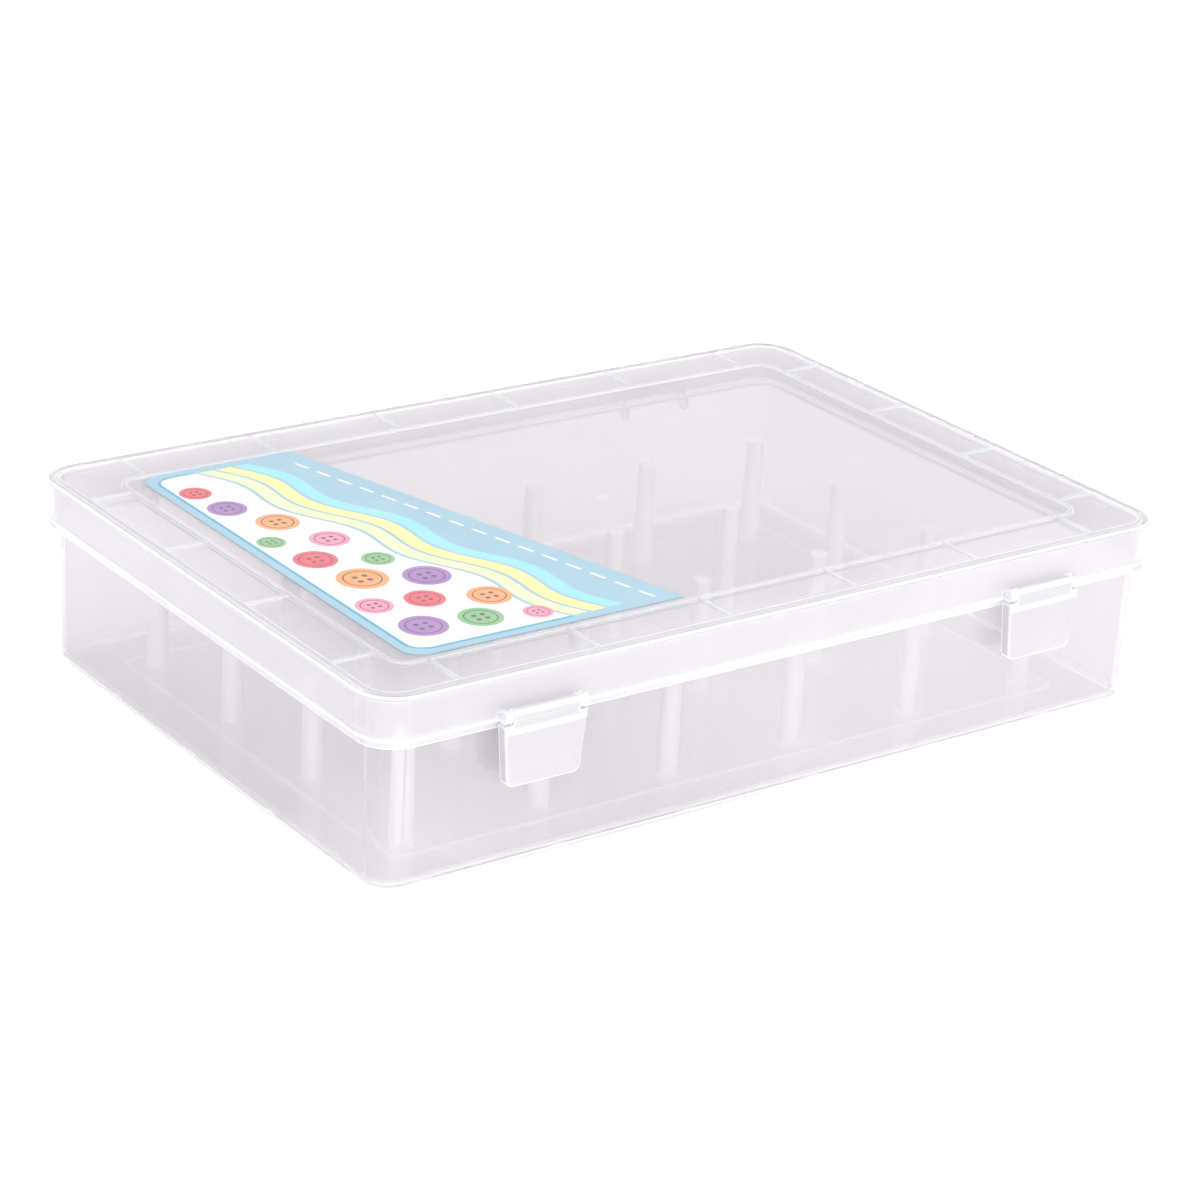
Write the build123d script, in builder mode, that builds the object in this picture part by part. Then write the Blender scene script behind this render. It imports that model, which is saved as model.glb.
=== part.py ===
"""Clear lidded thread box: a tub with spool pegs, a hinged lid, two snap latches and a label."""
import os
from math import atan, degrees

from build123d import *

os.makedirs("parts", exist_ok=True)

# Lid, the largest outline of the box
lid_length = 260.0
lid_width = 180.0
lid_corner = 11.0
lid_top = 55.4
lid_skirt = 11.6
lid_plate = 1.8
skirt_wall = 2.0
lid_edge_round = 1.2
skirt_round = 0.4
recess_length = 225.6
recess_width = 143.4
recess_depth = 0.6
recess_corner = 5.0
recess_step = 1.3
recess_frame = 1.2
border_frame = 3.4
rib_width = 1.2
cell_depth = 0.5
gate_radius = 1.3
gate_height = 0.3

# Tub, drafted so that it narrows towards the floor
lid_gap = 1.0
tub_wall = 1.8
tub_floor = 1.4
tub_draft = 0.8
tub_bottom_round = 2.4
floor_round = 1.2
rim_gap = 0.4
rim_round = 0.5
ledge_height = 2.6
ledge_inset = 0.6
ledge_round = 1.0
ledge_gap = 0.3
foot_height = 0.6
foot_width = 1.2
foot_nesting_gap = 0.7

# Spool pegs, pressed into holes in the floor
peg_columns = 6
peg_rows = 4
peg_pitch = 41.8
peg_height = 30.7
peg_foot_radius = 3.1
peg_top_radius = 2.6
peg_top_round = 0.6
peg_spigot_radius = 2.4
peg_press = 0.03

# Moulded hinges: a bar between two ears, gripped by an open hook
hinge_offset = 82.6
hinge_overall = 24.8
ear_width = 2.2
side_gap = 0.3
knuckle_radius = 1.8
bar_radius = 0.95
running_gap = 0.08
hook_mouth = 1.6
face_gap = 0.35
rear_axis_rise = 0.3
latch_axis_rise = 1.2
ear_root_drop = 4.7
ear_root_rise = 0.3

# Latches
flap_top_width = 25.0
flap_bottom_width = 22.2
flap_length = 16.8
flap_depth = 3.1
flap_plate = 1.4
flap_wall = 1.3
flap_corner = 2.2
flap_edge_round = 0.5
flap_setback = 0.5
shoulder_gap = 0.5
ridge_drop = 1.6
ridge_length = 23.4
ridge_radius = 0.5
catch_drop = 11.2
catch_length = 16.0
catch_land = 0.9
catch_slope = 3.8
catch_gap = 0.3
bead_height = 2.4
bead_land = 0.6

# Label, a thin film on the floor of the lid's recess
label_left = -107.5
label_back = 71.0
label_front = -69.6
label_back_right = -58.8
label_front_right = -23.5
label_corner = 6.0
label_thickness = 0.25
label_glue = 0.02

# Levels and outlines worked out from the sizes above
skirt_bottom = lid_top - lid_skirt
plate_underside = lid_top - lid_plate
panel_top = lid_top - recess_depth
panel_underside = panel_top - lid_plate
rim_top = plate_underside - rim_gap
rim_inset = skirt_wall + lid_gap
floor_top = foot_height + tub_floor
tub_height = rim_top - foot_height
tub_taper = degrees(atan(tub_draft / tub_height))
base_inset = rim_inset + tub_draft
base_length = lid_length - 2 * base_inset
base_width = lid_width - 2 * base_inset
base_corner = lid_corner - base_inset
ledge_top = skirt_bottom - ledge_gap
ledge_bottom = ledge_top - ledge_height
foot_length = recess_length - 2 * foot_nesting_gap
foot_width_across = recess_width - 2 * foot_nesting_gap
foot_corner = recess_corner - foot_nesting_gap
knuckle_width = hinge_overall - 2 * (ear_width + side_gap)
ear_offset = (hinge_overall - ear_width) / 2
bore_radius = bar_radius + running_gap
hinge_reach = lid_width / 2 + face_gap + knuckle_radius
rear_axis_y = hinge_reach
rear_axis_z = skirt_bottom + rear_axis_rise
latch_axis_y = -hinge_reach
latch_axis_z = skirt_bottom + latch_axis_rise
flap_front_y = latch_axis_y - knuckle_radius + flap_setback
flap_top = latch_axis_z - knuckle_radius - shoulder_gap
flap_bottom = flap_top - flap_length
catch_z = flap_top - catch_drop
flap_back_y = flap_front_y + flap_depth
catch_tip_y = flap_back_y + catch_gap


def tub_inset(level):
    """Distance from the lid's outline to the tub's outer wall at a level."""
    return rim_inset + tub_draft * (rim_top - level) / tub_height


with BuildPart() as tub:
    # Drafted shell
    with BuildSketch(Plane.XY.offset(foot_height)):
        RectangleRounded(base_length, base_width, base_corner)
    extrude(amount=tub_height, taper=-tub_taper)
    fillet(tub.faces().sort_by(Axis.Z)[0].edges(), radius=tub_bottom_round)
    cavity_inset = tub_inset(floor_top) + tub_wall
    with BuildSketch(Plane.XY.offset(floor_top)):
        RectangleRounded(
            lid_length - 2 * cavity_inset, lid_width - 2 * cavity_inset, lid_corner - cavity_inset
        )
    extrude(amount=rim_top - floor_top, taper=-tub_taper, mode=Mode.SUBTRACT)
    inner_floor = tub.faces().filter_by(Plane.XY).filter_by_position(Axis.Z, floor_top, floor_top)
    fillet(inner_floor.edges(), radius=floor_round)
    fillet(tub.faces().sort_by(Axis.Z)[-1].edges(), radius=rim_round)

    # Ledge under the lid's skirt
    ledge_root = tub_inset(ledge_bottom) + tub_wall / 2
    with BuildSketch(Plane.XY.offset(ledge_bottom)):
        RectangleRounded(
            lid_length - 2 * ledge_inset, lid_width - 2 * ledge_inset, lid_corner - ledge_inset
        )
        RectangleRounded(
            lid_length - 2 * ledge_root,
            lid_width - 2 * ledge_root,
            lid_corner - ledge_root,
            mode=Mode.SUBTRACT,
        )
    extrude(amount=ledge_height)
    for level in (ledge_bottom, ledge_top):
        ledge_face = tub.faces().filter_by(Axis.Z).filter_by_position(Axis.Z, level, level)[0]
        fillet(ledge_face.outer_wire().edges(), radius=ledge_round)

    # Foot ring, which nests in the recess of another lid
    with BuildSketch():
        RectangleRounded(foot_length, foot_width_across, foot_corner)
        offset(amount=-foot_width, mode=Mode.SUBTRACT)
    extrude(amount=foot_height + tub_floor / 2)

    # Holes for the peg spigots
    with BuildSketch():
        with GridLocations(peg_pitch, peg_pitch, peg_columns, peg_rows):
            Circle(peg_spigot_radius - peg_press)
    extrude(amount=floor_top + floor_round, mode=Mode.SUBTRACT)

    # Catches on the front wall, one behind each latch
    for side in (-1, 1):
        with BuildSketch(Plane.YZ.offset(side * hinge_offset - catch_length / 2)):
            with BuildLine():
                Polyline(
                    (-base_width / 2 + tub_wall / 2, catch_z + catch_slope),
                    (catch_tip_y, catch_z + catch_land),
                    (catch_tip_y, catch_z),
                    (-base_width / 2 + tub_wall / 2, catch_z),
                    close=True,
                )
            make_face()
        extrude(amount=catch_length)

    # Rear hinge ears and the bar between each pair
    for side in (-1, 1):
        for end in (-1, 1):
            ear_x = side * hinge_offset + end * ear_offset - ear_width / 2
            with BuildSketch(Plane.YZ.offset(ear_x)):
                with BuildLine():
                    Polyline(
                        (rear_axis_y - knuckle_radius, rear_axis_z),
                        (rear_axis_y - knuckle_radius, ledge_top),
                        (base_width / 2 - tub_wall / 2, ledge_top),
                        (base_width / 2 - tub_wall / 2, ledge_bottom - ear_root_drop),
                        (rear_axis_y + knuckle_radius, rear_axis_z - knuckle_radius),
                        (rear_axis_y + knuckle_radius, rear_axis_z),
                    )
                    ThreePointArc(
                        (rear_axis_y + knuckle_radius, rear_axis_z),
                        (rear_axis_y, rear_axis_z + knuckle_radius),
                        (rear_axis_y - knuckle_radius, rear_axis_z),
                    )
                make_face()
            extrude(amount=ear_width)
        with BuildSketch(Plane.YZ.offset(side * hinge_offset - ear_offset)):
            with Locations((rear_axis_y, rear_axis_z)):
                Circle(bar_radius)
        extrude(amount=2 * ear_offset)
tub.part.label = "tub"
export_step(tub.part, "parts/tub.step")


for row in range(peg_rows):
    for column in range(peg_columns):
        peg_x = (column - (peg_columns - 1) / 2) * peg_pitch
        peg_y = (row - (peg_rows - 1) / 2) * peg_pitch
        with BuildPart() as spool_peg:
            with BuildSketch(Plane((peg_x, peg_y, 0), x_dir=(1, 0, 0), z_dir=(0, -1, 0))):
                with BuildLine():
                    Polyline(
                        (0, foot_height),
                        (peg_spigot_radius, foot_height),
                        (peg_spigot_radius, floor_top),
                        (peg_foot_radius, floor_top),
                        (peg_top_radius, floor_top + peg_height),
                        (0, floor_top + peg_height),
                        close=True,
                    )
                make_face()
            revolve(axis=Axis((peg_x, peg_y, 0), (0, 0, 1)))
            fillet(spool_peg.edges().sort_by(Axis.Z)[-1], radius=peg_top_round)
        peg_name = f"spool_peg_row{row + 1}_column{column + 1}"
        spool_peg.part.label = peg_name
        export_step(spool_peg.part, f"parts/{peg_name}.step")


with BuildPart() as lid:
    # Shallow shell, open below
    with BuildSketch(Plane.XY.offset(skirt_bottom)):
        RectangleRounded(lid_length, lid_width, lid_corner)
    extrude(amount=lid_skirt)
    fillet(lid.faces().sort_by(Axis.Z)[-1].edges(), radius=lid_edge_round)
    with BuildSketch(Plane.XY.offset(skirt_bottom)):
        RectangleRounded(
            lid_length - 2 * skirt_wall, lid_width - 2 * skirt_wall, lid_corner - skirt_wall
        )
    extrude(amount=lid_skirt - lid_plate, mode=Mode.SUBTRACT)
    fillet(lid.faces().sort_by(Axis.Z)[0].outer_wire().edges(), radius=skirt_round)

    # Sunken panel
    with BuildSketch(Plane.XY.offset(panel_underside)):
        RectangleRounded(
            recess_length + 2 * recess_step,
            recess_width + 2 * recess_step,
            recess_corner + recess_step,
        )
    extrude(amount=recess_depth)
    with BuildSketch(Plane.XY.offset(panel_top)):
        RectangleRounded(recess_length, recess_width, recess_corner)
    extrude(amount=recess_depth, mode=Mode.SUBTRACT)

    # Sunken cells in the border, parted by ribs in line with the pegs
    with BuildSketch(Plane.XY.offset(lid_top - cell_depth)):
        RectangleRounded(
            lid_length - 2 * border_frame, lid_width - 2 * border_frame, lid_corner - border_frame
        )
        RectangleRounded(
            recess_length + 2 * recess_frame,
            recess_width + 2 * recess_frame,
            recess_corner + recess_frame,
            mode=Mode.SUBTRACT,
        )
        with GridLocations(peg_pitch, 0, peg_columns, 1):
            Rectangle(rib_width, lid_width, mode=Mode.SUBTRACT)
        with GridLocations(0, peg_pitch, 1, peg_rows):
            Rectangle(lid_length, rib_width, mode=Mode.SUBTRACT)
    extrude(amount=cell_depth, mode=Mode.SUBTRACT)

    # Moulding mark at the middle of the panel
    with BuildSketch(Plane.XY.offset(panel_top)):
        Circle(gate_radius)
        Circle(gate_radius / 2, mode=Mode.SUBTRACT)
    extrude(amount=gate_height)

    # Latch ears on the front skirt and the bar between each pair
    for side in (-1, 1):
        for end in (-1, 1):
            ear_x = side * hinge_offset + end * ear_offset - ear_width / 2
            with BuildSketch(Plane.YZ.offset(ear_x)):
                with BuildLine():
                    Polyline(
                        (latch_axis_y, latch_axis_z + knuckle_radius),
                        (-lid_width / 2 + skirt_wall / 2, latch_axis_z + ear_root_rise),
                        (-lid_width / 2 + skirt_wall / 2, skirt_bottom),
                        (-lid_width / 2 - face_gap, skirt_bottom),
                        (latch_axis_y, latch_axis_z - knuckle_radius),
                    )
                    ThreePointArc(
                        (latch_axis_y, latch_axis_z - knuckle_radius),
                        (latch_axis_y - knuckle_radius, latch_axis_z),
                        (latch_axis_y, latch_axis_z + knuckle_radius),
                    )
                make_face()
            extrude(amount=ear_width)
        with BuildSketch(Plane.YZ.offset(side * hinge_offset - ear_offset)):
            with Locations((latch_axis_y, latch_axis_z)):
                Circle(bar_radius)
        extrude(amount=2 * ear_offset)

    # Rear hooks that snap down over the tub's bars
    for side in (-1, 1):
        with BuildSketch(Plane.YZ.offset(side * hinge_offset - knuckle_width / 2)):
            with Locations((rear_axis_y, rear_axis_z)):
                Circle(knuckle_radius)
            with BuildLine():
                Polyline(
                    (rear_axis_y, rear_axis_z + knuckle_radius),
                    (lid_width / 2 - skirt_wall / 2, rear_axis_z + 2 * knuckle_radius),
                    (lid_width / 2 - skirt_wall / 2, rear_axis_z),
                    (rear_axis_y, rear_axis_z),
                    close=True,
                )
            make_face()
            with Locations((rear_axis_y, rear_axis_z)):
                Circle(bore_radius, mode=Mode.SUBTRACT)
            with Locations((rear_axis_y, rear_axis_z - knuckle_radius / 2)):
                Rectangle(hook_mouth, knuckle_radius, mode=Mode.SUBTRACT)
        extrude(amount=knuckle_width)
lid.part.label = "lid"
export_step(lid.part, "parts/lid.step")


for latch_name, latch_x in (("latch_left", -hinge_offset), ("latch_right", hinge_offset)):
    flap_plane = Plane((latch_x, flap_front_y, 0), x_dir=(1, 0, 0), z_dir=(0, -1, 0))
    with BuildPart() as latch:
        # Tapered flap, hollow behind
        with BuildSketch(flap_plane) as flap_outline:
            with BuildLine():
                Polyline(
                    (-flap_top_width / 2, flap_top),
                    (flap_top_width / 2, flap_top),
                    (flap_bottom_width / 2, flap_bottom),
                    (-flap_bottom_width / 2, flap_bottom),
                    close=True,
                )
            make_face()
            fillet(flap_outline.vertices().group_by(Axis.Y)[0], radius=flap_corner)
        extrude(amount=-flap_depth)
        fillet(latch.faces().sort_by(Axis.Y)[0].edges(), radius=flap_edge_round)
        with BuildSketch(flap_plane.offset(-flap_plate)):
            add(flap_outline.sketch_local)
            offset(amount=-flap_wall, mode=Mode.REPLACE)
        extrude(amount=flap_plate - flap_depth, mode=Mode.SUBTRACT)

        # Open hook around the lid's bar, with a neck down to the flap
        with BuildSketch(Plane.YZ.offset(latch_x - knuckle_width / 2)):
            with Locations((latch_axis_y, latch_axis_z)):
                Circle(knuckle_radius)
            with BuildLine():
                Polyline(
                    (latch_axis_y - knuckle_radius, latch_axis_z),
                    (latch_axis_y, latch_axis_z - bar_radius),
                    (latch_axis_y, flap_top - flap_wall),
                    (flap_front_y, flap_top - flap_wall),
                    (flap_front_y, flap_top),
                    close=True,
                )
            make_face()
            with Locations((latch_axis_y, latch_axis_z)):
                Circle(bore_radius, mode=Mode.SUBTRACT)
            with Locations((latch_axis_y + knuckle_radius / 2, latch_axis_z)):
                Rectangle(knuckle_radius, hook_mouth, mode=Mode.SUBTRACT)
        extrude(amount=knuckle_width)

        # Ridge across the front and the bead that snaps under the tub's catch
        with BuildSketch(Plane.YZ.offset(latch_x - ridge_length / 2)):
            with Locations((flap_front_y, flap_top - ridge_drop)):
                Circle(ridge_radius)
        extrude(amount=ridge_length)
        with BuildSketch(Plane.YZ.offset(latch_x - catch_length / 2)):
            with BuildLine():
                Polyline(
                    (flap_front_y + flap_plate / 2, catch_z),
                    (flap_back_y, catch_z - bead_land),
                    (flap_back_y, catch_z - 2 * bead_land),
                    (flap_front_y + flap_plate / 2, catch_z - bead_height),
                    close=True,
                )
            make_face()
        extrude(amount=catch_length)
    latch.part.label = latch_name
    export_step(latch.part, f"parts/{latch_name}.step")


with BuildPart() as lid_label:
    with BuildSketch(Plane.XY.offset(panel_top + label_glue)) as label_outline:
        with BuildLine():
            Polyline(
                (label_left, label_back),
                (label_back_right, label_back),
                (label_front_right, label_front),
                (label_left, label_front),
                close=True,
            )
        make_face()
        fillet(label_outline.vertices().group_by(Axis.X)[0], radius=label_corner)
    extrude(amount=label_thickness)
lid_label.part.label = "lid_label"
export_step(lid_label.part, "parts/lid_label.step")
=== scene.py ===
"""Dresses the clear thread box: moulded polypropylene, milky pegs and latches, and a printed film label."""

import logging
import math
from collections.abc import Callable, Iterable, Mapping
from dataclasses import dataclass, field
from enum import Enum

import bmesh
import bpy
from mathutils import Matrix, Vector


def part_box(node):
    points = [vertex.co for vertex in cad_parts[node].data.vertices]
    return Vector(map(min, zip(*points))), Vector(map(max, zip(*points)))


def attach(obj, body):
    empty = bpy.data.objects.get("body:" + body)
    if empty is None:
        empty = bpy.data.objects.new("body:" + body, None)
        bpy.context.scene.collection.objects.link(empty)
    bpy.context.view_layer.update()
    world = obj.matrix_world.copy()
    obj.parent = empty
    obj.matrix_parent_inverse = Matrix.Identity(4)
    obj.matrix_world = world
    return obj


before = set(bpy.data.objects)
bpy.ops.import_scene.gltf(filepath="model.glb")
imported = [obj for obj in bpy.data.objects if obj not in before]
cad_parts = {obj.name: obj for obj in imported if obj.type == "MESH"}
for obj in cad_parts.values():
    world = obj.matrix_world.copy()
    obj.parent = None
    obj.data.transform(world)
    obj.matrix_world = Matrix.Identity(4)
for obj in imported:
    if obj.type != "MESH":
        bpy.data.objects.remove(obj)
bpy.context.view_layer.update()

LOG = logging.getLogger("thread_box")
MM = 0.001

# The sRGB curve: a straight foot, then a power.
SRGB_KNEE = 0.04045
SRGB_FOOT = 12.92
SRGB_OFFSET = 0.055
SRGB_POWER = 2.4

# The sockets of a colour mix node.
MIX_SHARE, MIX_FIRST, MIX_SECOND = 0, 6, 7
MIX_COLOUR = 2

Colour = tuple[float, float, float, float]
Point = tuple[float, float]
Edge = Callable[[float], float]


class Body(Enum):
    """The moving bodies that new pieces ride on."""

    LID = "lid"


class Slot(Enum):
    """The record's material slot for printed film."""

    PRINTED_FILM = "printed_film"


class Ink(Enum):
    """The label's printing inks, as sRGB hex values."""

    TURQUOISE = "#92B7C8"
    TEAL = "#3E9FBC"
    WHITE = "#E2DDE5"
    LEAF = "#D6DDB2"
    STRAW = "#F6DD94"
    SKY = "#8FD2F2"
    RED = "#D9505A"
    ORANGE = "#EE9A5C"
    ROSE = "#E58AA8"
    VIOLET = "#9A6FB0"
    GREEN = "#7DB37A"
    PLUM = "#5E4656"


def linear(code: str) -> Colour:
    """Turns an sRGB hex value into a linear colour.

    Args:
        code: The colour as "#RRGGBB".

    Returns:
        The linear red, green, blue and an alpha of one.
    """
    channels = [int(code[i:i + 2], 16) / 255 for i in (1, 3, 5)]
    red, green, blue = (
        c / SRGB_FOOT if c <= SRGB_KNEE else ((c + SRGB_OFFSET) / (1 + SRGB_OFFSET)) ** SRGB_POWER
        for c in channels
    )
    return red, green, blue, 1.0


def per_metre(size_mm: float) -> float:
    """Gives a texture's scale from the size of its pattern.

    Args:
        size_mm: How far apart the pattern repeats, in millimetres.

    Returns:
        The scale, in repeats per metre.
    """
    return 1 / (size_mm * MM)


def add_node(
    tree: bpy.types.NodeTree,
    kind: str,
    settings: Mapping[str | int, object] | None = None,
    links: Mapping[str | int, bpy.types.NodeSocket] | None = None,
) -> bpy.types.Node:
    """Adds a node to a tree.

    Args:
        tree: The tree that gets the node.
        kind: The node's type name.
        settings: Values for the node's inputs, or for its own properties.
        links: The output that feeds each named input.

    Returns:
        The new node.
    """
    node = tree.nodes.new(kind)
    for key, value in (settings or {}).items():
        if isinstance(key, str) and hasattr(node, key):
            setattr(node, key, value)
        else:
            node.inputs[key].default_value = value
    for key, source in (links or {}).items():
        tree.links.new(source, node.inputs[key])
    return node


def new_material(name: str) -> bpy.types.Material:
    """Makes an empty node material.

    Args:
        name: The material's name.

    Returns:
        The material, without nodes.
    """
    material = bpy.data.materials.new(name)
    material.use_nodes = True
    material.node_tree.nodes.clear()
    return material


def paint(piece: bpy.types.Object, material: bpy.types.Material) -> None:
    """Gives every face of a piece one material.

    Args:
        piece: The mesh object to paint.
        material: What it is made of.
    """
    if not piece.material_slots:
        piece.data.materials.append(material)
    for material_slot in piece.material_slots:
        material_slot.material = material


@dataclass(frozen=True)
class MilkyWall:
    """Where a moulding is milkier: its outer wall, what stands out from it, its foot and a panel's border.

    Lengths are in millimetres.
    """

    length: float
    width: float
    corner: float
    band: float
    level: float
    haze_below: float
    haze_above: float
    stand_out: float
    haze_outside: float
    blur: float = 0.4
    foot: float = 0.0
    haze_foot: float = 0.0
    panel: Point | None = None
    haze_border: float = 0.0
    border_fade: float = 14.0

    def mask(self, tree: bpy.types.NodeTree, place: bpy.types.NodeSocket) -> bpy.types.NodeSocket:
        """Finds the milkier places.

        Args:
            tree: The material's nodes.
            place: The output that gives the place on the piece.

        Returns:
            An output that gives the haze, zero where the moulding is clear.
        """
        middle = ((self.length / 2 - self.corner) * MM, (self.width / 2 - self.corner) * MM, 0.0)
        quarter = add_node(tree, "ShaderNodeVectorMath", {"operation": "ABSOLUTE"}, {0: place})
        past = add_node(
            tree, "ShaderNodeVectorMath", {"operation": "SUBTRACT", 1: middle}, {0: quarter.outputs["Vector"]}
        )
        outward = add_node(
            tree, "ShaderNodeVectorMath", {"operation": "MAXIMUM", 1: (0, 0, 0)}, {0: past.outputs["Vector"]}
        )
        flat = add_node(
            tree,
            "ShaderNodeVectorMath",
            {"operation": "MULTIPLY", 1: (1, 1, 0)},
            {0: outward.outputs["Vector"]},
        )
        reach = add_node(tree, "ShaderNodeVectorMath", {"operation": "LENGTH"}, {0: flat.outputs["Vector"]})
        inner = (self.corner - self.band) * MM
        near = add_node(
            tree,
            "ShaderNodeMapRange",
            {"From Min": inner, "From Max": inner + self.blur * MM},
            {"Value": reach.outputs["Value"]},
        )
        parts = add_node(tree, "ShaderNodeSeparateXYZ", {}, {"Vector": place})
        depth = add_node(
            tree,
            "ShaderNodeMapRange",
            {
                "From Min": (self.level - self.blur) * MM,
                "From Max": self.level * MM,
                "To Min": self.haze_below,
                "To Max": self.haze_above,
            },
            {"Value": parts.outputs["Z"]},
        )
        milky = add_node(
            tree,
            "ShaderNodeMath",
            {"operation": "MULTIPLY"},
            {0: near.outputs["Result"], 1: depth.outputs["Result"]},
        )
        outer = (self.corner + self.stand_out) * MM
        outside = add_node(
            tree,
            "ShaderNodeMapRange",
            {"From Min": outer, "From Max": outer + self.blur * MM, "To Max": self.haze_outside},
            {"Value": reach.outputs["Value"]},
        )
        hazes = [milky.outputs["Value"], outside.outputs["Result"]]
        if self.foot:
            hazes.append(self.foot_mask(tree, parts.outputs["Z"]))
        if self.panel:
            hazes.append(self.border_mask(tree, quarter.outputs["Vector"], self.panel))
        most = hazes[0]
        for haze in hazes[1:]:
            larger = add_node(tree, "ShaderNodeMath", {"operation": "MAXIMUM"}, {0: most, 1: haze})
            most = larger.outputs["Value"]
        return most

    def foot_mask(self, tree: bpy.types.NodeTree, height: bpy.types.NodeSocket) -> bpy.types.NodeSocket:
        """Finds the foot.

        Args:
            tree: The material's nodes.
            height: The output that gives the height above the table.

        Returns:
            An output that gives the haze, zero above the foot.
        """
        top = self.foot * MM
        under = add_node(
            tree,
            "ShaderNodeMapRange",
            {"From Min": top / 2, "From Max": top, "To Min": self.haze_foot, "To Max": 0.0},
            {"Value": height},
        )
        return under.outputs["Result"]

    def border_mask(
        self, tree: bpy.types.NodeTree, quarter: bpy.types.NodeSocket, panel: Point
    ) -> bpy.types.NodeSocket:
        """Finds the border round the panel.

        Args:
            tree: The material's nodes.
            quarter: The output that gives the place on the piece, mirrored into one quarter.
            panel: The panel's length and width.

        Returns:
            An output that gives the haze, zero inside the panel.
        """
        middle = (panel[0] / 2 * MM, panel[1] / 2 * MM, 0.0)
        past = add_node(tree, "ShaderNodeVectorMath", {"operation": "SUBTRACT", 1: middle}, {0: quarter})
        sides = add_node(tree, "ShaderNodeSeparateXYZ", {}, {"Vector": past.outputs["Vector"]})
        furthest = add_node(
            tree, "ShaderNodeMath", {"operation": "MAXIMUM"}, {0: sides.outputs["X"], 1: sides.outputs["Y"]}
        )
        border = add_node(
            tree,
            "ShaderNodeMapRange",
            {"From Max": self.border_fade * MM, "To Max": self.haze_border},
            {"Value": furthest.outputs["Value"]},
        )
        return border.outputs["Result"]


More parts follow.
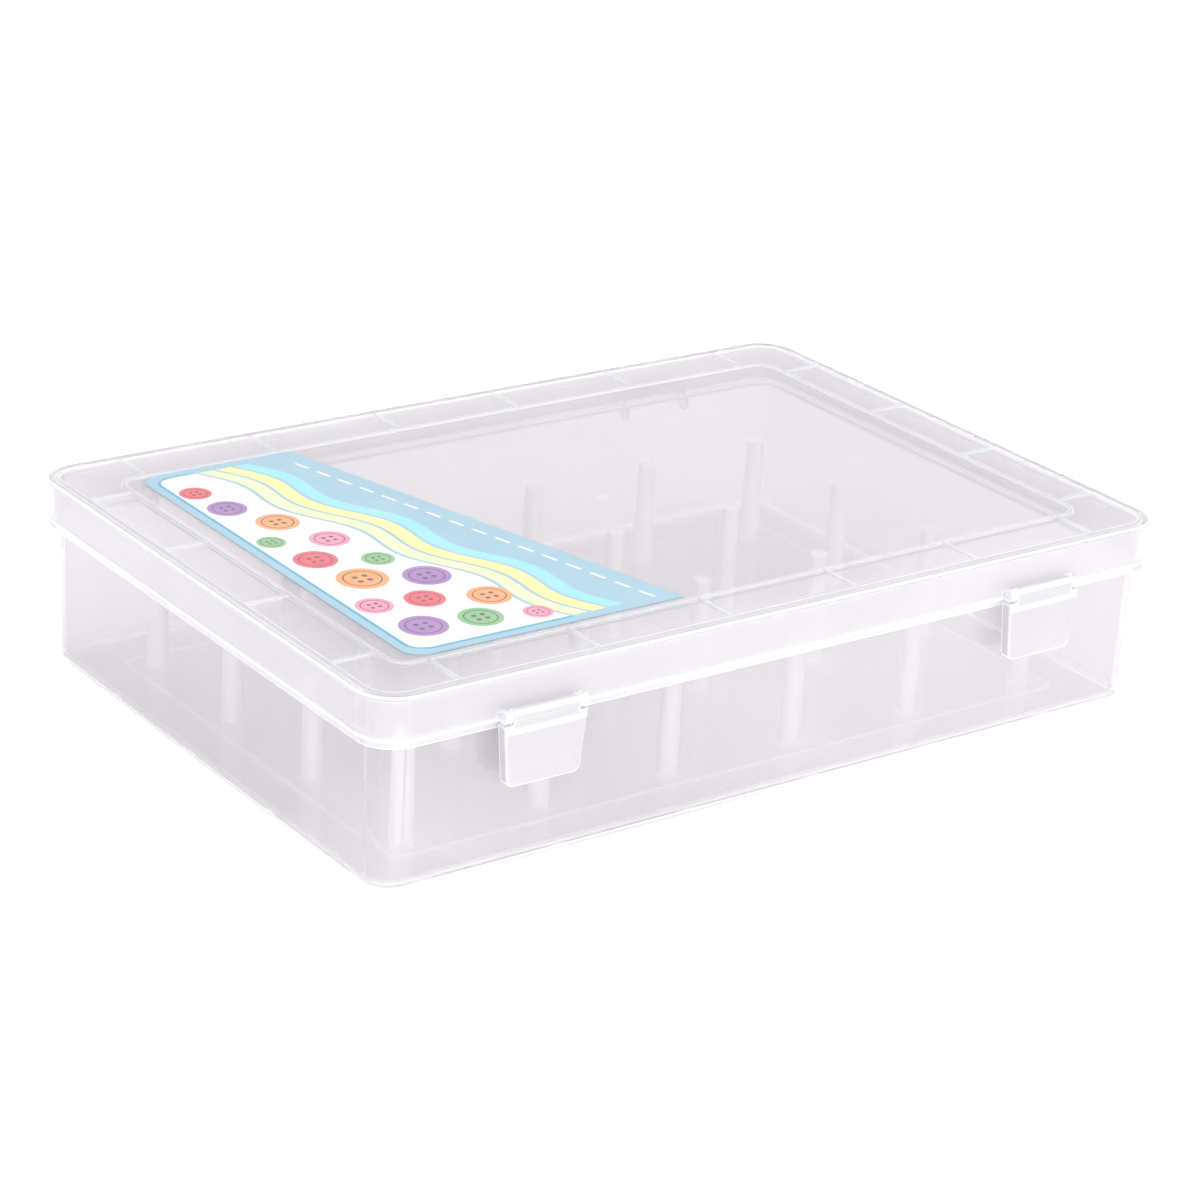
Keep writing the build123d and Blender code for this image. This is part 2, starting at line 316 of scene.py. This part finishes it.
@dataclass(frozen=True)
class MouldedPolypropylene:
    """Unpigmented polypropylene, injection-moulded in a polished steel cavity.

    The resin is clear with a cold, faintly lilac haze. The skin is glossy, with slow ripples left by the
    flow into the cavity, and cloudier and clearer patches where it cooled at different speeds. Sharp
    edges and level rounded edges are made whiter and less clear: partly the resin scattering more in
    thick rims, ribs and steps, and partly a painted highlight along them.
    """

    name: str
    clear_tint: str
    cloudy_tint: str
    clarity: float
    gloss_roughness: float
    cloud_roughness: float
    lamp_tint: str = "#FDFCFD"
    index: float = 1.49
    cloud_mm: float = 34.0
    cloud_detail: float = 3.0
    cloud_grain: float = 0.55
    ripple_mm: float = 9.0
    ripple_detail: float = 1.0
    ripple_height_mm: float = 0.006
    haze_and_highlight_tint: str = "#FFFEFF"
    edge_clarity: float = 0.10
    edge_mm: float = 0.7
    edge_full: float = 0.80
    edge_none: float = 0.985
    edge_rays: int = 4
    round_slope: float = 0.60
    round_full: float = 0.16
    round_none: float = 0.32
    wall: MilkyWall | None = None

    def build(self) -> bpy.types.Material:
        """Makes the material's nodes.

        Returns:
            The finished material.
        """
        material = new_material(self.name)
        tree = material.node_tree
        place = add_node(tree, "ShaderNodeTexCoord").outputs["Object"]
        clouds = add_node(
            tree,
            "ShaderNodeTexNoise",
            {"Scale": per_metre(self.cloud_mm), "Detail": self.cloud_detail, "Roughness": self.cloud_grain},
            {"Vector": place},
        )
        tint = add_node(
            tree,
            "ShaderNodeMix",
            {"data_type": "RGBA", MIX_FIRST: linear(self.clear_tint), MIX_SECOND: linear(self.cloudy_tint)},
            {MIX_SHARE: clouds.outputs["Fac"]},
        )
        roughness = add_node(
            tree,
            "ShaderNodeMapRange",
            {"To Min": self.gloss_roughness, "To Max": self.cloud_roughness},
            {"Value": clouds.outputs["Fac"]},
        )
        ripples = add_node(
            tree,
            "ShaderNodeTexNoise",
            {"Scale": per_metre(self.ripple_mm), "Detail": self.ripple_detail},
            {"Vector": place},
        )
        relief = add_node(
            tree,
            "ShaderNodeBump",
            {"Distance": self.ripple_height_mm * MM, "Strength": 1.0},
            {"Height": ripples.outputs["Fac"]},
        )
        haze = self.edge_haze_and_highlight(tree)
        if self.wall:
            milky = self.wall.mask(tree, place)
            larger = add_node(tree, "ShaderNodeMath", {"operation": "MAXIMUM"}, {0: haze, 1: milky})
            haze = larger.outputs["Value"]
        # Edges and milkier places turn less clear and nearly white: milky resin, and on the edges also a
        # painted highlight.
        clarity = add_node(
            tree,
            "ShaderNodeMapRange",
            {"To Min": self.clarity, "To Max": self.edge_clarity},
            {"Value": haze},
        )
        colour = add_node(
            tree,
            "ShaderNodeMix",
            {"data_type": "RGBA", MIX_SECOND: linear(self.haze_and_highlight_tint)},
            {MIX_SHARE: haze, MIX_FIRST: tint.outputs[MIX_COLOUR]},
        )
        surface = add_node(
            tree,
            "ShaderNodeBsdfPrincipled",
            {"IOR": self.index},
            {
                "Base Color": colour.outputs[MIX_COLOUR],
                "Roughness": roughness.outputs["Result"],
                "Transmission Weight": clarity.outputs["Result"],
                "Normal": relief.outputs["Normal"],
            },
        )
        # Lamps shine through the thin walls, so the inside of the box isn't left in shadow.
        ray = add_node(tree, "ShaderNodeLightPath")
        clear = add_node(tree, "ShaderNodeBsdfTransparent", {"Color": linear(self.lamp_tint)})
        through = add_node(
            tree,
            "ShaderNodeMixShader",
            {},
            {0: ray.outputs["Is Shadow Ray"], 1: surface.outputs["BSDF"], 2: clear.outputs["BSDF"]},
        )
        add_node(tree, "ShaderNodeOutputMaterial", {}, {"Surface": through.outputs["Shader"]})
        return material

    def edge_haze_and_highlight(self, tree: bpy.types.NodeTree) -> bpy.types.NodeSocket:
        """Finds the sharp edges and the rounded horizontal ones, which get a whiter tint: partly scattering,
        partly a painted highlight.

        Args:
            tree: The material's nodes.

        Returns:
            An output that is one on an edge and zero on a flat face.
        """
        rounded = add_node(tree, "ShaderNodeBevel", {"samples": self.edge_rays, "Radius": self.edge_mm * MM})
        faces = add_node(tree, "ShaderNodeNewGeometry")
        level = add_node(
            tree,
            "ShaderNodeVectorMath",
            {"operation": "DOT_PRODUCT"},
            {0: rounded.outputs["Normal"], 1: faces.outputs["Normal"]},
        )
        sharp = add_node(
            tree,
            "ShaderNodeMapRange",
            {"From Min": self.edge_full, "From Max": self.edge_none, "To Min": 1.0, "To Max": 0.0},
            {"Value": level.outputs["Value"]},
        )
        # The piece's own normal, so that an edge stays an edge while the piece swings.
        own = add_node(tree, "ShaderNodeTexCoord").outputs["Normal"]
        lean = add_node(tree, "ShaderNodeSeparateXYZ", {}, {"Vector": own})
        slope = add_node(tree, "ShaderNodeMath", {"operation": "ABSOLUTE"}, {0: lean.outputs["Z"]})
        off = add_node(
            tree,
            "ShaderNodeMath",
            {"operation": "SUBTRACT", 1: self.round_slope},
            {0: slope.outputs["Value"]},
        )
        apart = add_node(tree, "ShaderNodeMath", {"operation": "ABSOLUTE"}, {0: off.outputs["Value"]})
        # Level rounded edges get the painted highlight. Vertical corners don't.
        curved = add_node(
            tree,
            "ShaderNodeMapRange",
            {"From Min": self.round_full, "From Max": self.round_none, "To Min": 1.0, "To Max": 0.0},
            {"Value": apart.outputs["Value"]},
        )
        edge = add_node(
            tree,
            "ShaderNodeMath",
            {"operation": "MAXIMUM"},
            {0: sharp.outputs["Result"], 1: curved.outputs["Result"]},
        )
        return edge.outputs["Value"]


@dataclass(frozen=True)
class PrintedFilm:
    """Offset ink on a white polypropylene film with a clear varnish.

    The ink lies flat with a satin sheen. Its tone drifts a little, as ink does on a plastic web, and a
    fine screen of dots breaks it up. The film's underside is bare.
    """

    ink: Ink
    film_tint: str = "#F2F0F2"
    underside_slope: float = -0.5
    drift_mm: float = 14.0
    drift_detail: float = 2.0
    screen_mm: float = 0.35
    roughness: float = 0.34
    varnish: float = 0.25
    varnish_roughness: float = 0.18
    index: float = 1.49
    drift_share: float = 0.12
    screen_height_mm: float = 0.002

    def build(self) -> bpy.types.Material:
        """Makes the material's nodes.

        Returns:
            The finished material.
        """
        material = new_material(f"{self.ink.name.lower()}_offset_ink_on_film")
        tree = material.node_tree
        place = add_node(tree, "ShaderNodeTexCoord")
        drift = add_node(
            tree,
            "ShaderNodeTexNoise",
            {"Scale": per_metre(self.drift_mm), "Detail": self.drift_detail},
            {"Vector": place.outputs["Object"]},
        )
        tone = linear(self.ink.value)
        paler = tuple(c + (1 - c) * self.drift_share for c in tone)
        shade = add_node(
            tree,
            "ShaderNodeMix",
            {"data_type": "RGBA", MIX_FIRST: tone, MIX_SECOND: paler},
            {MIX_SHARE: drift.outputs["Fac"]},
        )
        lean = add_node(tree, "ShaderNodeSeparateXYZ", {}, {"Vector": place.outputs["Normal"]})
        printed = add_node(
            tree,
            "ShaderNodeMath",
            {"operation": "GREATER_THAN", 1: self.underside_slope},
            {0: lean.outputs["Z"]},
        )
        colour = add_node(
            tree,
            "ShaderNodeMix",
            {"data_type": "RGBA", MIX_FIRST: linear(self.film_tint)},
            {MIX_SHARE: printed.outputs["Value"], MIX_SECOND: shade.outputs[MIX_COLOUR]},
        )
        screen = add_node(
            tree,
            "ShaderNodeTexVoronoi",
            {"Scale": per_metre(self.screen_mm)},
            {"Vector": place.outputs["Object"]},
        )
        relief = add_node(
            tree,
            "ShaderNodeBump",
            {"Distance": self.screen_height_mm * MM, "Strength": 1.0},
            {"Height": screen.outputs["Distance"]},
        )
        surface = add_node(
            tree,
            "ShaderNodeBsdfPrincipled",
            {
                "IOR": self.index,
                "Roughness": self.roughness,
                "Coat Weight": self.varnish,
                "Coat Roughness": self.varnish_roughness,
            },
            {"Base Color": colour.outputs[MIX_COLOUR], "Normal": relief.outputs["Normal"]},
        )
        add_node(tree, "ShaderNodeOutputMaterial", {}, {"Surface": surface.outputs["BSDF"]})
        return material


@dataclass(frozen=True)
class PaintedBoard:
    """White emulsion rolled on a board: dead matt, with the roller's soft stipple."""

    name: str = "white_emulsion_on_board"
    tone: str = "#F9F9F9"
    stipple_tone: str = "#FBFBFB"
    stipple_mm: float = 3.0
    roughness: float = 0.9

    def build(self) -> bpy.types.Material:
        """Makes the material's nodes.

        Returns:
            The finished material.
        """
        material = new_material(self.name)
        tree = material.node_tree
        place = add_node(tree, "ShaderNodeTexCoord")
        stipple = add_node(
            tree,
            "ShaderNodeTexNoise",
            {"Scale": per_metre(self.stipple_mm)},
            {"Vector": place.outputs["Object"]},
        )
        shade = add_node(
            tree,
            "ShaderNodeMix",
            {"data_type": "RGBA", MIX_FIRST: linear(self.tone), MIX_SECOND: linear(self.stipple_tone)},
            {MIX_SHARE: stipple.outputs["Fac"]},
        )
        surface = add_node(
            tree,
            "ShaderNodeBsdfPrincipled",
            {"Roughness": self.roughness, "Specular IOR Level": 0.0},
            {"Base Color": shade.outputs[MIX_COLOUR]},
        )
        add_node(tree, "ShaderNodeOutputMaterial", {}, {"Surface": surface.outputs["BSDF"]})
        return material


@dataclass
class Tub:
    """The clear tub with its walls, floor, foot ring, catches and rear hinge bars."""

    node: str = "tub"
    finish: MouldedPolypropylene = MouldedPolypropylene(
        name="clear_polypropylene_tub",
        clear_tint="#EEEBEE",
        cloudy_tint="#EBE8EB",
        clarity=0.77,
        gloss_roughness=0.02,
        cloud_roughness=0.06,
        edge_mm=1.0,
        wall=MilkyWall(
            length=252.4,
            width=172.4,
            corner=7.2,
            band=2.8,
            level=4.5,
            haze_below=0.24,
            haze_above=0.0,
            stand_out=1.0,
            haze_outside=0.30,
            blur=1.5,
            foot=0.55,
            haze_foot=0.8,
        ),
    )

    def dress(self) -> None:
        """Paints the tub."""
        paint(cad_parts[self.node], self.finish.build())
        LOG.info("%s dressed", self.node)


@dataclass
class PegField:
    """The four rows of six spool pegs."""

    prefix: str = "spool_peg_"
    finish: MouldedPolypropylene = MouldedPolypropylene(
        name="milky_polypropylene_peg",
        clear_tint="#FDFCFE",
        cloudy_tint="#FAF9FB",
        clarity=0.06,
        gloss_roughness=0.30,
        cloud_roughness=0.40,
        cloud_mm=11.0,
        ripple_mm=4.0,
    )

    def dress(self) -> None:
        """Paints every peg."""
        material = self.finish.build()
        pegs = [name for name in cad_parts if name.startswith(self.prefix)]
        for name in pegs:
            paint(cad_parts[name], material)
            LOG.info("%s dressed", name)


@dataclass
class Lid:
    """The clear lid with its sunken panel, ribbed border and skirt."""

    node: str = "lid"
    finish: MouldedPolypropylene = MouldedPolypropylene(
        name="clear_polypropylene_lid",
        clear_tint="#F4F1F2",
        cloudy_tint="#F0EDEF",
        clarity=0.84,
        gloss_roughness=0.02,
        cloud_roughness=0.06,
        # The lid's edges get a faint blue-white painted highlight, which the milkier places share.
        haze_and_highlight_tint="#EEF2FA",
        edge_clarity=0.20,
        edge_mm=1.0,
        wall=MilkyWall(
            length=260.0,
            width=180.0,
            corner=11.0,
            band=2.9,
            level=54.6,
            haze_below=0.20,
            haze_above=0.15,
            stand_out=0.1,
            haze_outside=0.45,
            panel=(225.6, 143.4),
            haze_border=0.18,
        ),
    )

    def dress(self) -> None:
        """Paints the lid."""
        paint(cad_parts[self.node], self.finish.build())
        LOG.info("%s dressed", self.node)


@dataclass
class Latches:
    """The two flap latches on the front."""

    nodes: tuple[str, ...] = ("latch_left", "latch_right")
    finish: MouldedPolypropylene = MouldedPolypropylene(
        name="milky_polypropylene_latch",
        clear_tint="#D6D4D8",
        cloudy_tint="#D1CFD4",
        clarity=0.32,
        gloss_roughness=0.14,
        cloud_roughness=0.22,
        cloud_mm=9.0,
        ripple_mm=5.0,
        edge_mm=1.0,
    )

    def dress(self) -> None:
        """Paints both latches."""
        material = self.finish.build()
        for name in self.nodes:
            paint(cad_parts[name], material)
            LOG.info("%s dressed", name)


@dataclass
class InkLayer:
    """All the shapes that one pass of one ink leaves on the label."""

    name: str
    ink: Ink
    level: int
    mesh: bmesh.types.BMesh = field(default_factory=bmesh.new)

    def strip(self, left: Iterable[Point], right: Iterable[Point]) -> None:
        """Adds a band between two lines with as many points.

        Args:
            left: The points of one edge, in millimetres.
            right: The points of the other edge.
        """
        rows = [
            (self.mesh.verts.new((*start, 0)), self.mesh.verts.new((*end, 0)))
            for start, end in zip(left, right)
        ]
        for (start, end), (next_start, next_end) in zip(rows, rows[1:]):
            self.mesh.faces.new((start, end, next_end, next_start))

    def ring(self, x: float, y: float, inner: float, outer: float, steps: int = 40) -> None:
        """Adds a ring, or a full disc where the inner radius is zero.

        Args:
            x: The middle, in millimetres.
            y: The middle, in millimetres.
            inner: The inner radius.
            outer: The outer radius.
            steps: How many sides the circle has.
        """
        turns = [math.tau * i / steps for i in range(steps)]
        rim = [self.mesh.verts.new((x + outer * math.cos(t), y + outer * math.sin(t), 0)) for t in turns]
        if not inner:
            self.mesh.faces.new(rim)
            return
        bore = [self.mesh.verts.new((x + inner * math.cos(t), y + inner * math.sin(t), 0)) for t in turns]
        for i in range(steps):
            j = (i + 1) % steps
            self.mesh.faces.new((rim[i], rim[j], bore[j], bore[i]))

    def build(self, surface_z: float, step: float, sunk: float) -> bpy.types.Object:
        """Raises the shapes into thin closed ink films and hands them to the lid.

        Args:
            surface_z: The height of the film's face, in metres.
            step: How much higher each level ends than the one below, in millimetres.
            sunk: How far the ink reaches into the film, in millimetres.

        Returns:
            The piece.
        """
        flat = list(self.mesh.faces)
        raised = bmesh.ops.extrude_face_region(self.mesh, geom=flat)["geom"]
        tops = [v for v in raised if isinstance(v, bmesh.types.BMVert)]
        bmesh.ops.translate(self.mesh, verts=tops, vec=(0, 0, sunk + step * (self.level + 1)))
        bmesh.ops.recalc_face_normals(self.mesh, faces=self.mesh.faces)
        self.mesh.transform(Matrix.Translation((0, 0, surface_z - sunk * MM)) @ Matrix.Scale(MM, 4))
        data = bpy.data.meshes.new(self.name)
        self.mesh.to_mesh(data)
        self.mesh.free()
        piece = bpy.data.objects.new(self.name, data)
        bpy.context.scene.collection.objects.link(piece)
        paint(piece, PrintedFilm(self.ink).build())
        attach(piece, Body.LID.value)
        LOG.info("%s printed", self.name)
        return piece


@dataclass(frozen=True)
class PrintedButton:
    """A round four-hole button in the label's picture.

    Its middle and diameter are in millimetres. The other sizes are shares of its radius.
    """

    x: float
    y: float
    diameter: float
    ink: Ink
    rim_inner: float = 0.70
    rim_outer: float = 0.76
    hole_offset: float = 0.3
    hole_radius: float = 0.12
    holes: int = 4
    hole_sides: int = 12

    def draw_face(self, layer: InkLayer) -> None:
        """Prints the button's full disc.

        Args:
            layer: The ink of its face.
        """
        layer.ring(self.x, self.y, 0, self.diameter / 2)

    def draw_lines(self, layer: InkLayer) -> None:
        """Prints the rim and the holes.

        Args:
            layer: The ink of its lines.
        """
        radius = self.diameter / 2
        layer.ring(self.x, self.y, radius * self.rim_inner, radius * self.rim_outer)
        for hole in range(self.holes):
            turn = math.tau * (hole + 0.5) / self.holes
            x = self.x + radius * self.hole_offset * math.cos(turn)
            y = self.y + radius * self.hole_offset * math.sin(turn)
            layer.ring(x, y, 0, radius * self.hole_radius, self.hole_sides)


@dataclass
class Label:
    """The film label on the lid's panel, with a picture of loose buttons and three wavy ribbons.

    Lengths are in millimetres, apart from top_z, which is in metres.
    """

    node: str = "lid_label"
    left: float = field(init=False)
    front: float = field(init=False)
    front_right: float = field(init=False)
    back: float = field(init=False)
    top_z: float = field(init=False)
    back_right: float = -58.8
    margin: float = 3.4
    panel_corner: float = 4.5
    panel_inset: float = 33.0
    wave_height: float = 2.4
    wave_length: float = 44.0
    ribbon_width: float = 4.6
    ribbon_gap: float = 1.1
    row_spacing: float = 1.2
    outline_width: float = 0.9
    stitch_inset: float = 6.5
    stitch_length: float = 5.0
    stitch_gap: float = 3.2
    stitch_width: float = 0.9
    ink_step: float = 0.012
    ink_sunk: float = 0.006
    buttons: tuple[PrintedButton, ...] = (
        PrintedButton(-99, 54, 9, Ink.RED),
        PrintedButton(-97, 40, 11, Ink.VIOLET),
        PrintedButton(-90, 25, 12, Ink.ORANGE),
        PrintedButton(-99, 13, 8, Ink.GREEN),
        PrintedButton(-84, 8, 11, Ink.ROSE),
        PrintedButton(-95, -3, 12, Ink.RED),
        PrintedButton(-80, -10, 9, Ink.GREEN),
        PrintedButton(-91, -20, 14, Ink.ORANGE),
        PrintedButton(-75, -26, 13, Ink.VIOLET),
        PrintedButton(-98, -37, 10, Ink.ROSE),
        PrintedButton(-84, -39, 11, Ink.RED),
        PrintedButton(-68, -45, 12, Ink.ORANGE),
        PrintedButton(-94, -54, 13, Ink.VIOLET),
        PrintedButton(-78, -56, 12, Ink.GREEN),
        PrintedButton(-63, -60, 8, Ink.ROSE),
    )

    def __post_init__(self) -> None:
        """Reads the label's place from its solid."""
        low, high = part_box(self.node)
        self.left, self.front = low[0] / MM, low[1] / MM
        self.front_right, self.back = high[0] / MM, high[1] / MM
        self.top_z = high[2]

    def slant(self, y: float) -> float:
        """Finds the label's slanted right edge.

        Args:
            y: The place from front to back.

        Returns:
            The edge's x there.
        """
        share = (self.back - y) / (self.back - self.front)
        return self.back_right + share * (self.front_right - self.back_right)

    def wave(self, y: float) -> float:
        """Finds the white panel's wavy right edge.

        Args:
            y: The place from front to back.

        Returns:
            The edge's x there.
        """
        return self.slant(y) - self.panel_inset + self.wave_height * math.sin(math.tau * y / self.wave_length)

    def panel_left(self, y: float) -> float:
        """Finds the white panel's left edge, with its two rounded corners.

        Args:
            y: The place from front to back.

        Returns:
            The edge's x there.
        """
        reach = min(y - (self.front + self.margin), self.back - self.margin - y)
        short = max(self.panel_corner - reach, 0.0)
        return self.left + self.margin + self.panel_corner - math.sqrt(self.panel_corner**2 - short**2)

    def rows(self, margin: float) -> list[float]:
        """Spaces out the cross lines of a band that runs from front to back.

        Args:
            margin: How far the band ends from the label's front and back edges.

        Returns:
            The y values, from front to back.
        """
        first, last = self.front + margin, self.back - margin
        count = math.ceil((last - first) / self.row_spacing)
        return [first + (last - first) * i / count for i in range(count + 1)]

    def band(self, layer: InkLayer, rows: list[float], start: Edge, end: Edge) -> None:
        """Adds a band that runs from front to back.

        Args:
            layer: The ink that prints it.
            rows: The y values of its cross lines.
            start: The x of its left edge at a y.
            end: The x of its right edge at a y.
        """
        layer.strip([(start(y), y) for y in rows], [(end(y), y) for y in rows])

    def build(self) -> None:
        """Prints the label, one ink after another."""
        paint(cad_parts[self.node], PrintedFilm(Ink.TURQUOISE).build())
        panel = InkLayer("label_print_panel", Ink.WHITE, 1)
        outline = InkLayer("label_print_outline", Ink.TEAL, 0)
        rows = self.rows(self.margin)
        self.band(panel, rows, self.panel_left, self.wave)
        wide = self.rows(self.margin - self.outline_width)
        self.band(
            outline,
            wide,
            lambda y: self.panel_left(min(max(y, rows[0]), rows[-1])) - self.outline_width,
            self.wave,
        )
        panel.build(self.top_z, self.ink_step, self.ink_sunk)
        outline.build(self.top_z, self.ink_step, self.ink_sunk)
        self.build_ribbons(rows)
        self.build_stitches()
        self.build_buttons()

    def build_ribbons(self, rows: list[float]) -> None:
        """Prints the three wavy ribbons beside the panel.

        Args:
            rows: The y values of their cross lines.
        """
        for i, ink in enumerate((Ink.LEAF, Ink.STRAW, Ink.SKY)):
            ribbon = InkLayer(f"label_print_ribbon_{ink.name.lower()}", ink, 1)
            start = self.ribbon_gap + i * (self.ribbon_width + self.ribbon_gap)
            end = start + self.ribbon_width
            self.band(ribbon, rows, lambda y: self.wave(y) + start, lambda y: self.wave(y) + end)
            ribbon.build(self.top_z, self.ink_step, self.ink_sunk)

    def build_stitches(self) -> None:
        """Prints a line of running stitches along the slanted edge."""
        stitches = InkLayer("label_print_stitches", Ink.WHITE, 1)
        y = self.front + self.margin
        while y + self.stitch_length < self.back - self.margin:
            self.band(
                stitches,
                [y, y + self.stitch_length],
                lambda v: self.slant(v) - self.stitch_inset,
                lambda v: self.slant(v) - self.stitch_inset + self.stitch_width,
            )
            y += self.stitch_length + self.stitch_gap
        stitches.build(self.top_z, self.ink_step, self.ink_sunk)

    def build_buttons(self) -> None:
        """Prints the loose buttons, and their rims and holes over them."""
        drawn = InkLayer("label_print_button_lines", Ink.PLUM, 3)
        inks = sorted({button.ink for button in self.buttons}, key=lambda ink: ink.name)
        for ink in inks:
            discs = InkLayer(f"label_print_buttons_{ink.name.lower()}", ink, 2)
            for button in (b for b in self.buttons if b.ink is ink):
                button.draw_face(discs)
                button.draw_lines(drawn)
            discs.build(self.top_z, self.ink_step, self.ink_sunk)
        drawn.build(self.top_z, self.ink_step, self.ink_sunk)


@dataclass(frozen=True)
class PhotoCamera:
    """The camera, where the photographer stood. Angles in degrees, lengths in metres."""

    azimuth: float = -36.65
    elevation: float = 22.40
    roll: float = 3.25
    distance: float = 0.98783
    lens_mm: float = 104.39
    sensor_mm: float = 36.0
    target: tuple[float, float, float] = (0.00422, 0.00419, 0.02143)

    def build(self) -> bpy.types.Object:
        """Makes the camera the scene's own.

        Returns:
            The camera.
        """
        azimuth, elevation, roll = (math.radians(a) for a in (self.azimuth, self.elevation, self.roll))
        back = Vector((
            math.sin(azimuth) * math.cos(elevation),
            -math.cos(azimuth) * math.cos(elevation),
            math.sin(elevation),
        ))
        level_right = Vector((math.cos(azimuth), math.sin(azimuth), 0))
        level_up = back.cross(level_right)
        right = level_right * math.cos(roll) + level_up * math.sin(roll)
        up = back.cross(right)
        data = bpy.data.cameras.new("photo_camera")
        data.lens = self.lens_mm
        data.sensor_width = self.sensor_mm
        camera = bpy.data.objects.new("photo_camera", data)
        camera.matrix_world = Matrix.Translation(Vector(self.target) + back * self.distance) @ Matrix(
            (right, up, back)
        ).transposed().to_4x4()
        bpy.context.scene.collection.objects.link(camera)
        bpy.context.scene.camera = camera
        return camera


@dataclass(frozen=True)
class SoftBox:
    """A rectangular soft light that faces the box. Lengths in metres."""

    name: str
    place: tuple[float, float, float]
    width: float
    height: float
    watts: float
    aim: tuple[float, float, float] = (0.0, 0.0, 0.03)

    def build(self) -> bpy.types.Object:
        """Hangs the light.

        Returns:
            The light.
        """
        data = bpy.data.lights.new(self.name, "AREA")
        data.shape = "RECTANGLE"
        data.size = self.width
        data.size_y = self.height
        data.energy = self.watts
        lamp = bpy.data.objects.new(self.name, data)
        towards = Vector(self.aim) - Vector(self.place)
        lamp.location = self.place
        lamp.rotation_euler = towards.to_track_quat("-Z", "Y").to_euler()
        lamp.visible_camera = False
        lamp.visible_transmission = False
        lamp.visible_glossy = False
        bpy.context.scene.collection.objects.link(lamp)
        return lamp


@dataclass
class Studio:
    """The white table, the white tent round it and its soft lights."""

    floor_side: float = 8.0
    floor_drop_mm: float = 0.05
    tent_tone: str = "#FDFDFE"
    tent_strength: float = 0.80
    camera: PhotoCamera = PhotoCamera()
    lights: tuple[SoftBox, ...] = (
        SoftBox("right_soft_box", (0.77, -0.53, 1.04), 0.8, 0.6, 4.9),
        SoftBox("back_soft_box", (-0.53, 1.04, 0.77), 0.8, 0.5, 4.4),
        SoftBox("front_soft_box", (-0.72, -1.10, 0.90), 2.8, 1.7, 26.5),
    )

    def build(self) -> None:
        """Sets up the floor, the tent, the lights and the camera."""
        half = self.floor_side / 2
        z = -self.floor_drop_mm * MM
        data = bpy.data.meshes.new("studio_floor")
        data.from_pydata(
            [(-half, -half, z), (half, -half, z), (half, half, z), (-half, half, z)], [], [(0, 1, 2, 3)]
        )
        floor = bpy.data.objects.new("studio_floor", data)
        bpy.context.scene.collection.objects.link(floor)
        paint(floor, PaintedBoard().build())
        world = bpy.data.worlds.new("white_tent")
        world.use_nodes = True
        backdrop = world.node_tree.nodes["Background"]
        backdrop.inputs["Color"].default_value = linear(self.tent_tone)
        backdrop.inputs["Strength"].default_value = self.tent_strength
        bpy.context.scene.world = world
        bpy.context.scene.view_settings.view_transform = "Standard"
        for light in self.lights:
            light.build()
        self.camera.build()
        LOG.info("studio ready")


def main() -> None:
    """Builds the box's sub-assemblies and the studio, in order."""
    logging.basicConfig(level=logging.INFO, format="%(name)s: %(message)s")
    Tub().dress()
    PegField().dress()
    Lid().dress()
    Latches().dress()
    Label().build()
    Studio().build()


if __name__ == "__main__":
    main()
